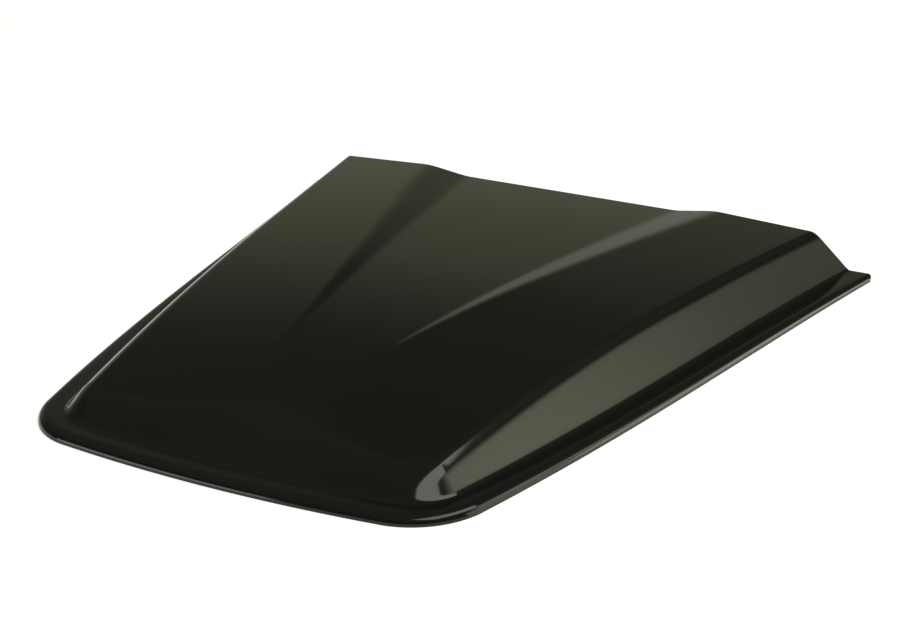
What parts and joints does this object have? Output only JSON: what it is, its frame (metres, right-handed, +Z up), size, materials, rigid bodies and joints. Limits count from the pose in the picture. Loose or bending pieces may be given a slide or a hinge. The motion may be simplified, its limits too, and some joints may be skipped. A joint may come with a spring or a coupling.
{
  "type": "car bonnet vent",
  "caption": "Thin moulded bonnet vent cover, low and wide at the front and open at the rear, with a rolled mounting flange, two shallow pods and a widening channel between them.",
  "frame": {"origin": "On the bonnet plane, at the middle of the box round the part.", "axes": "+Y runs from the closed front edge to the open rear end, +X to the right seen from above with the front towards the viewer, +Z up out of the bonnet."},
  "size_m": [0.6938, 0.7041, 0.0624],
  "materials": {
    "shell_plastic": "smooth gloss black moulded plastic with a faint olive cast"
  },
  "bodies": {
    "root": {"vent_shell": "shell_plastic"}
  },
  "joints": []
}
